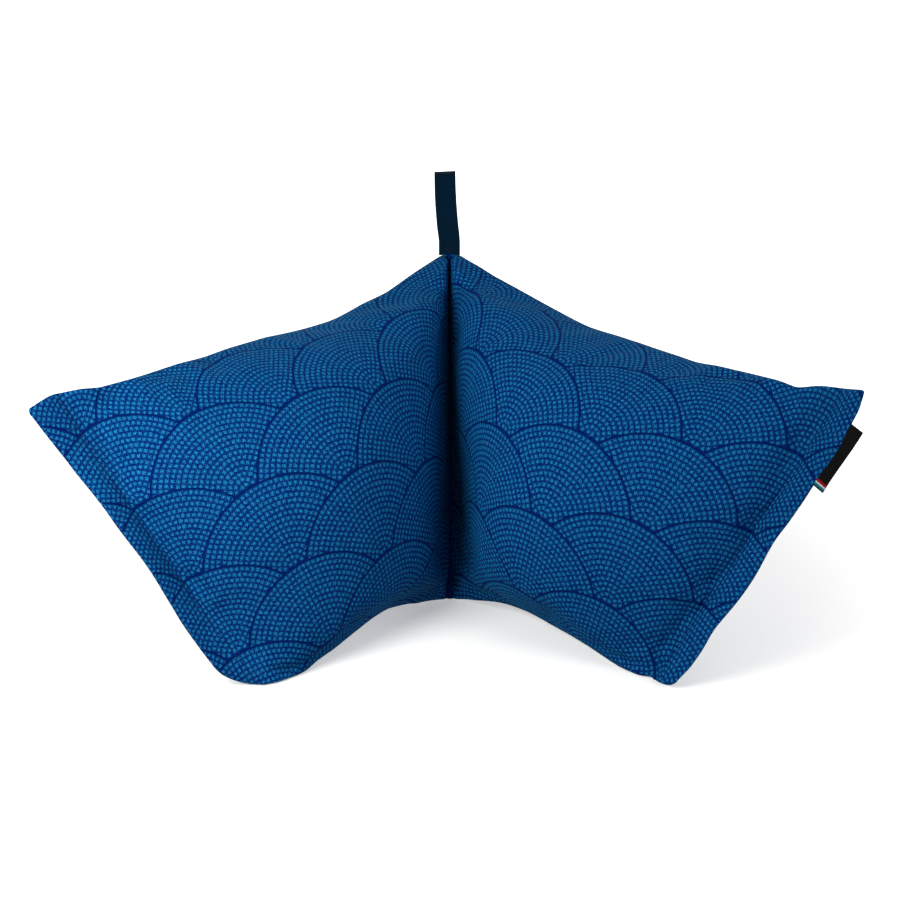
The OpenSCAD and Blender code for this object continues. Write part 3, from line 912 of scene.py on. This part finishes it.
class NECKPILLOW_OT_wing_covers(bpy.types.Operator):
    """Make the printed front and back panels of both wings, filled as cloth pouches"""

    bl_idname = "neck_pillow.wing_covers"
    bl_label = "Wing Covers"

    def execute(self, context):
        wing, look = context.scene.neck_pillow_wing, context.scene.neck_pillow_print
        cotton = shared("seigaiha_cotton", printed_cotton, look)
        plan = WingPlan(wing)
        for name, mirror in WINGS:
            faces = dress_wing(plan, fill_pouch(*cut_pouch(plan), wing), LAYS[name])
            for points, (side, face) in zip(faces, FACES):
                self.panel(name, mirror, side, face, points, wing, look, cotton)
        return {"FINISHED"}

    def panel(self, name, mirror, side, face, points, wing, look, cotton):
        bm = bmesh.new()
        grid_at(bm, stand(points, wing.fold, mirror))
        if face * mirror < 0:
            bmesh.ops.reverse_faces(bm, faces=bm.faces[:])
        solid = f"{name}_{side}_panel"
        cover = finish_piece(f"{name}_{side}_cover", bm, cotton, None, [solid])
        flat, layer, corners = flat_map(cover, points[..., :2].reshape(-1, 2))
        angle, start = getattr(look, f"{name}_angle"), getattr(look, f"{name}_from")
        turn = np.array(((math.cos(angle), -math.sin(angle)), (math.sin(angle), math.cos(angle))))
        printed = (flat - np.array(start)) @ turn / look.wave
        layer.uv.foreach_set("vector", printed[corners].astype(np.float32).ravel())
        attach(cover, f"{name}_wing")
        smooth = cover.modifiers.new("smooth", "SUBSURF")
        smooth.levels = smooth.render_levels = 1
        smooth.boundary_smooth = "PRESERVE_CORNERS"
        thick = cover.modifiers.new("cloth", "SOLIDIFY")
        thick.thickness = wing.cloth * 0.9
        thick.offset = -1


class NECKPILLOW_OT_stuffing(bpy.types.Operator):
    """Make the fibre inside both wings, just within their covers"""

    bl_idname = "neck_pillow.stuffing"
    bl_label = "Stuffing"

    def execute(self, context):
        fibre = shared("white_fibre_fill", stuffing_fibre)
        for name, _ in WINGS:
            front, back = [cover_points(name, side)[2:-2:2, 3 : ALONG - 1 : 2] for side, _ in FACES]
            middle, half = (front + back) / 2, (front - back) / 2
            depth = np.linalg.norm(half, axis=2, keepdims=True)
            tuft = [[noise.noise(Vector(spot) * TUFT_WAVES) for spot in line] for line in middle]
            left = depth - FIBRE_GAP - TUFT_HEIGHT * np.array(tuft)[..., None]
            half *= np.maximum(left, FIBRE_LEAST) / depth
            bm = bmesh.new()
            for _, face in FACES:
                grid_at(bm, middle + face * half)
            bmesh.ops.bridge_loops(bm, edges=open_edges(bm))
            face_outward(bm)
            core = finish_piece(
                f"{name}_stuffing", bm, fibre, f"{name}_wing", [f"{name}_filling"]
            )
        return {"FINISHED"}


def stitch_at(bm, middle, along, normal, length, width):
    """Adds one stitch, a rounded bar of thread lying on a surface."""
    along = Vector(along).normalized()
    normal = Vector(normal).normalized()
    side = normal.cross(along).normalized()
    turn = Matrix((along, side, along.cross(side))).transposed().to_4x4()
    size = Matrix.Diagonal((length / 2, width / 2, width * 0.45, 1))
    bmesh.ops.create_uvsphere(
        bm, u_segments=8, v_segments=5, radius=1, matrix=Matrix.Translation(middle) @ turn @ size
    )


def stitches_along(bm, path, outward, trim):
    """Adds an even row of stitches along a path of points."""
    reached = reached_at(path)
    pitch = trim.stitch + trim.stitch_space
    count = int((reached[-1] - trim.stitch_space) / pitch)
    for k in range(count):
        middle = reached[-1] / 2 + (k - (count - 1) / 2) * pitch
        start, spot, end = [
            np.array([np.interp(middle + shift, reached, path[:, axis]) for axis in range(3)])
            for shift in (-trim.stitch / 2, 0, trim.stitch / 2)
        ]
        stitch_at(bm, spot + outward * trim.thread * 0.2, end - start, outward, trim.stitch, trim.thread)


class NECKPILLOW_OT_topstitch(bpy.types.Operator):
    """Sew the rows of stitches through both flanges"""

    bl_idname = "neck_pillow.topstitch"
    bl_label = "Flange Stitches"

    def execute(self, context):
        trim, wing = context.scene.neck_pillow_trim, context.scene.neck_pillow_wing
        thread = shared("twisted_navy_thread", sewing_thread, trim.thread_navy)
        for name, mirror in WINGS:
            bm = bmesh.new()
            front = wing_axes(wing.fold)[2] * (mirror, 1, 1)
            for side, face in FACES:
                stitches_along(bm, cover_points(name, side)[1:-1, STITCH_COLUMN], front * face, trim)
            face_outward(bm)
            finish_piece(
                f"{name}_flange_stitches", bm, thread, f"{name}_wing", [f"{name}_topstitch"]
            )
        return {"FINISHED"}


class NECKPILLOW_OT_centre_seam(bpy.types.Operator):
    """Make the rolled centre seam and the stitches along it"""

    bl_idname = "neck_pillow.centre_seam"
    bl_label = "Centre Seam"

    def execute(self, context):
        trim, look = context.scene.neck_pillow_trim, context.scene.neck_pillow_print
        wing = context.scene.neck_pillow_wing
        start, end = -ROLL_BELOW, wing.seam_length + ROLL_ABOVE
        bm = bmesh.new()
        bmesh.ops.create_circle(bm, cap_ends=True, segments=ROLL_SIDES, radius=trim.seam_roll / 2)
        layer = bm.loops.layers.uv.new("print")
        lids = list(bm.faces)
        for _ in range(ROLL_STEPS):
            made = bmesh.ops.extrude_edge_only(bm, edges=open_edges(bm) or list(lids[0].edges))["geom"]
            top = [part for part in made if isinstance(part, bmesh.types.BMVert)]
            bmesh.ops.translate(bm, verts=top, vec=(0, 0, (end - start) / ROLL_STEPS))
        bmesh.ops.holes_fill(bm, edges=open_edges(bm))
        face_outward(bm)
        for part in bm.faces:
            for loop in part.loops:
                x, y, z = loop.vert.co
                around = math.atan2(y, x) * trim.seam_roll / 2 / look.wave
                loop[layer].uv = (around + ROLL_PRINT, z / look.wave)
        for vert in bm.verts:
            x, y, z = vert.co
            swing = 1 + ROLL_UNEVEN * noise.noise((x * ROLL_WAVES, y * ROLL_WAVES, z * ROLL_WAVES_UP))
            vert.co = on_seam(np.array((x * swing, y * swing, z + start)))
            vert.co.z = max(vert.co.z, 0.0)
        # Painted shade: the roll keeps little of the print's ink, so that it reads dark deep in the crease
        cotton = shared("seam_cotton", printed_cotton, look, ROLL_INK_PAINTED_SHADE)
        finish_piece("centre_seam_roll", bm, cotton, "spine", ["spine_seam"])
        thread = shared("twisted_navy_thread", sewing_thread, trim.thread_navy)
        bm = bmesh.new()
        up = np.linspace(SEAM_STITCH_START, wing.seam_length - trim.stitch, SEAM_STITCH_POINTS)
        for _, face in FACES:
            path = on_seam(np.stack((up * 0, np.full(len(up), -face * trim.seam_roll / 2), up), 1))
            stitches_along(bm, path, on_seam(np.array((0.0, -face, 0.0))) - SEAM_FOOT, trim)
        face_outward(bm)
        finish_piece("centre_seam_stitches", bm, thread, "spine", ["spine_stitches"])
        return {"FINISHED"}


def band(name, path, widths, thickness, material):
    """A flat band along a path, with its own map of widths and lengths, rounded at its edges."""
    bm = bmesh.new()
    layer = bm.loops.layers.uv.new("weave")
    reached = reached_at(path[:, 0])
    spots = {}
    for line, far in zip(grid_at(bm, path), reached):
        spots.update((vert, (width, far)) for vert, width in zip(line, widths))
    for part in bm.faces:
        for loop in part.loops:
            loop[layer].uv = spots[loop.vert]
    piece = finish_piece(name, bm, material, None, [])
    thick = piece.modifiers.new("thickness", "SOLIDIFY")
    thick.thickness = thickness
    thick.offset = 0
    soft = piece.modifiers.new("edges", "BEVEL")
    soft.width = thickness * 0.28
    soft.segments = 2
    soft.limit_method = "ANGLE"
    return piece


class NECKPILLOW_OT_hanging_loop(bpy.types.Operator):
    """Fold the webbing loop on the centre seam's top and tack it down"""

    bl_idname = "neck_pillow.hanging_loop"
    bl_label = "Hanging Loop"

    def execute(self, context):
        trim, wing = context.scene.neck_pillow_trim, context.scene.neck_pillow_wing
        base = wing.seam_length + TAPE_START
        flex = Vector(JOINTS["loop_flex"]["pos_m"])
        flex_up = float((np.array(flex) - SEAM_FOOT) @ SEAM_UP)
        # Half of the loop from its sewn end up to the middle of its fold, then the other half
        radius = trim.fold_radius + trim.tape / 2
        fold_up = flex_up + trim.loop_rise - trim.fold_radius
        inner = trim.tape / 2 + HAIR
        lean = math.asin((radius - inner) / (fold_up - flex_up))
        side = [(-inner, base + (flex_up - base) * k / SEWN_CELLS) for k in range(SEWN_CELLS)]
        leave = (-radius * math.cos(lean), fold_up - radius * math.sin(lean))
        for share in np.linspace(0, 1, SIDE_CELLS + 1):
            side.append((-inner + (leave[0] + inner) * share, flex_up + (leave[1] - flex_up) * share))
        turns = np.linspace(math.pi + lean, math.pi / 2, FOLD_CELLS + 1)[1:]
        side += [(radius * math.cos(a), fold_up + radius * math.sin(a)) for a in turns]
        outline = np.array(side + [(-y, z) for y, z in side[-2::-1]])
        widths = np.linspace(-trim.tape_width / 2, trim.tape_width / 2, WIDTH_CELLS + 1)
        path = np.zeros((len(outline), len(widths), 3))
        path[..., 0] = widths
        path[..., 1:] = outline[:, None]
        rise = np.clip(path[..., 2] - flex_up, 0, None)
        sway = LOOP_SWAY * smooth_step(0, SWAY_START, rise)
        path[..., 0] -= rise * np.sin(sway) + LOOP_BOW * np.sin(rise / LOOP_BOW_LENGTH * math.pi)
        path[..., 2] += widths * np.sin(sway) * smooth_step(0, TWIST_START, rise)
        webbing = shared("ribbed_navy_webbing", ribbed_webbing, trim.webbing_navy)
        loop = band("webbing_loop", on_seam(path), widths, trim.tape, webbing)
        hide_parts("loop_ends", "hang_loop")
        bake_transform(loop)
        thread = shared("dark_tack_thread", sewing_thread, trim.webbing_navy)
        bm = bmesh.new()
        outward = on_seam(np.array((0.0, -1.0, 0.0))) - SEAM_FOOT
        length = trim.tape_width - TACK_SHORT
        for _, face in FACES:
            for k in range(1, TACK_ROWS + 1):
                spot = on_seam(np.array((0.0, -face * (trim.tape + TACK_LIFT), base + TACK_PITCH * k)))
                stitch_at(bm, spot, (1, TACK_SLANT * (-1) ** k, 0), outward * face, length, trim.thread)
        face_outward(bm)
        finish_piece("loop_bar_tack", bm, thread, "spine", ["loop_bartack"])
        return {"FINISHED"}


class NECKPILLOW_OT_label(bpy.types.Operator):
    """Fold the plain woven label into the right flange's edge"""

    bl_idname = "neck_pillow.label"
    bl_label = "Label"

    def flange_middle(self):
        """Points midway between the two layers of the right flange."""
        front, back = [cover_points("right", side) for side, _ in FACES]
        return ((front + back) / 2)[:, ALONG + 2 :].reshape(-1, 3)

    def execute(self, context):
        trim, wing = context.scene.neck_pillow_trim, context.scene.neck_pillow_wing
        plan = WingPlan(wing)
        axes = wing_axes(wing.fold)
        out = plan.end_out @ axes[:2]
        up = plan.end_up @ axes[:2]
        hinge = np.array(JOINTS["label_flex"]["pos_m"])
        layer = trim.label / 2
        radius = layer / 2
        reach = trim.label_width - trim.label - LABEL_SHORT
        steps = range(LABEL_WIDTH_CELLS + 1)
        side = [(-LABEL_CAUGHT + (reach + LABEL_CAUGHT) * k / LABEL_WIDTH_CELLS, radius) for k in steps]
        turns = np.linspace(math.pi / 2, 0, LABEL_FOLD_CELLS + 1)[1:]
        side += [(reach + radius * math.cos(a), radius * math.sin(a)) for a in turns]
        outline = np.array(side + [(x, -n) for x, n in side[-2::-1]])
        lengths = np.linspace(0, trim.label_length, LABEL_CELLS + 1)
        path = np.zeros((len(outline), len(lengths), 3))
        curl = CURL_HEIGHT * np.sin(lengths / trim.label_length * math.pi * CURL_TURN + CURL_START)
        flange = (self.flange_middle() - SEAM_FOOT) @ axes.T
        for i, place in enumerate(lengths):
            spots = hinge + outline[:, :1] * out + place * up
            laid = (spots - SEAM_FOOT) @ axes[:2].T
            gaps = np.sum((laid[:, None] - flange[None, :, :2]) ** 2, axis=2)
            near = np.exp((gaps.min(1, keepdims=True) - gaps) / LABEL_EVEN**2)
            lift = near @ flange[:, 2] / near.sum(1)
            lift = lift + outline[:, 1] + curl[i] * np.clip(outline[:, 0] / reach, 0, 1) ** 2
            path[:, i] = spots + lift[:, None] * axes[2]
        black = shared("black_satin_label", woven_label, trim.label_black)
        label = band("woven_label", path, lengths, layer * 0.9, black)
        for item in label.data.uv_layers["weave"].uv:
            item.vector = (item.vector[1], item.vector[0])
        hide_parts("side_tag")
        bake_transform(label)
        return {"FINISHED"}


class NECKPILLOW_OT_studio(bpy.types.Operator):
    """Set up the pale floor, the soft light and the camera"""

    bl_idname = "neck_pillow.studio"
    bl_label = "Studio"

    def execute(self, context):
        scene, studio = context.scene, context.scene.neck_pillow_studio
        self.floor(scene, studio)
        self.surroundings(scene, studio)
        for name, (place, size, power, colour) in LIGHTS.items():
            self.light(scene, name, Vector(place), size, getattr(studio, power), colour)
        scene.view_settings.view_transform = "Standard"
        data = bpy.data.cameras.new("photo_camera")
        data.lens = studio.lens
        data.sensor_width = SENSOR_WIDTH
        camera = bpy.data.objects.new("photo_camera", data)
        camera.location = Vector(SEAM_FOOT) + self.way(studio.azimuth, studio.elevation) * studio.distance
        look = -self.way(studio.azimuth, studio.elevation - studio.tilt_up)
        camera.rotation_euler = look.to_track_quat("-Z", "Y").to_euler()
        scene.collection.objects.link(camera)
        scene.camera = camera
        return {"FINISHED"}

    def way(self, azimuth, elevation):
        """Direction from the pillow towards a camera."""
        level = math.cos(elevation)
        return Vector((math.sin(azimuth) * level, -math.cos(azimuth) * level, math.sin(elevation)))

    def floor(self, scene, studio):
        bm = bmesh.new()
        bmesh.ops.create_grid(bm, x_segments=2, y_segments=2, size=FLOOR_HALF)
        bmesh.ops.translate(bm, verts=bm.verts[:], vec=(0, 0, -FLOOR_DEPTH))
        mesh = bpy.data.meshes.new("studio_floor")
        bm.to_mesh(mesh)
        bm.free()
        floor = bpy.data.objects.new("studio_floor", mesh)
        scene.collection.objects.link(floor)
        paper = new_shade("white_paper")
        # The paper glows as painted light, less near the pillow, which paints a shadow round it, and more far
        # off
        painted_glow_and_shadow = paper.ramp(paper.length(paper.place()), *GLOW_AND_PAINTED_SHADOW_TURN, *studio.floor_glow_painted_shadow)
        mesh.materials.append(
            paper.set(
                Base_Color=(0.87, 0.87, 0.87, 1),
                Roughness=0.9,
                Specular_IOR_Level=0.1,
                Emission_Color=(1, 1, 1, 1),
                Emission_Strength=painted_glow_and_shadow,
            )
        )
        floor.visible_diffuse = False

    def surroundings(self, scene, studio):
        scene.world = scene.world or bpy.data.worlds.new("studio")
        sky = Shade(scene.world, "Background")
        up = sky.separate(sky.node("ShaderNodeTexCoord", output="Generated"))[2]
        rise = {0: up, 3: studio.ambient, 4: studio.ambient + studio.overhead}
        rise = sky.node("ShaderNodeMapRange", rise)
        above = sky.calc("GREATER_THAN", up, 0.0)
        strength = sky.node("ShaderNodeMix", {0: above, 2: studio.bounce, 3: rise})
        sky.set(Color=(1, 1, 1, 1), Strength=strength)

    def light(self, scene, name, place, size, power, colour):
        data = bpy.data.lights.new(name, "AREA")
        data.color = colour
        data.shape = "DISK"
        data.size = size
        data.energy = power
        light = bpy.data.objects.new(name, data)
        light.visible_camera = False
        light.location = place
        light.rotation_euler = (LIGHT_AIM - place).to_track_quat("-Z", "Y").to_euler()
        scene.collection.objects.link(light)


class NECKPILLOW_PT_parts(bpy.types.Panel):
    """Lists the pillow's sizes, looks and pieces"""

    bl_label = "Neck Pillow"
    bl_idname = "NECKPILLOW_PT_parts"
    bl_space_type = "VIEW_3D"
    bl_region_type = "UI"
    bl_category = "Neck Pillow"

    def draw(self, context):
        layout = self.layout
        for group in GROUPS:
            settings = getattr(context.scene, group)
            box = layout.box()
            for key in settings.bl_rna.properties.keys():
                if key not in ("rna_type", "name"):
                    box.prop(settings, key)
        for operator in OPERATORS:
            layout.operator(operator.bl_idname)


GROUPS = {
    "neck_pillow_wing": NeckPillowWing,
    "neck_pillow_print": NeckPillowPrint,
    "neck_pillow_trim": NeckPillowTrim,
    "neck_pillow_studio": NeckPillowStudio,
}
OPERATORS = (
    NECKPILLOW_OT_studio,
    NECKPILLOW_OT_wing_covers,
    NECKPILLOW_OT_stuffing,
    NECKPILLOW_OT_topstitch,
    NECKPILLOW_OT_centre_seam,
    NECKPILLOW_OT_hanging_loop,
    NECKPILLOW_OT_label,
)


def register():
    for name, group in GROUPS.items():
        bpy.utils.register_class(group)
        setattr(bpy.types.Scene, name, PointerProperty(type=group))
    for made in (*OPERATORS, NECKPILLOW_PT_parts):
        bpy.utils.register_class(made)


def unregister():
    for made in (NECKPILLOW_PT_parts, *reversed(OPERATORS)):
        bpy.utils.unregister_class(made)
    for name, group in GROUPS.items():
        delattr(bpy.types.Scene, name)
        bpy.utils.unregister_class(group)


def main():
    register()
    bpy.ops.neck_pillow.studio()
    bpy.ops.neck_pillow.wing_covers()
    bpy.ops.neck_pillow.stuffing()
    bpy.ops.neck_pillow.topstitch()
    bpy.ops.neck_pillow.centre_seam()
    bpy.ops.neck_pillow.hanging_loop()
    bpy.ops.neck_pillow.label()


if __name__ == "__main__":
    main()
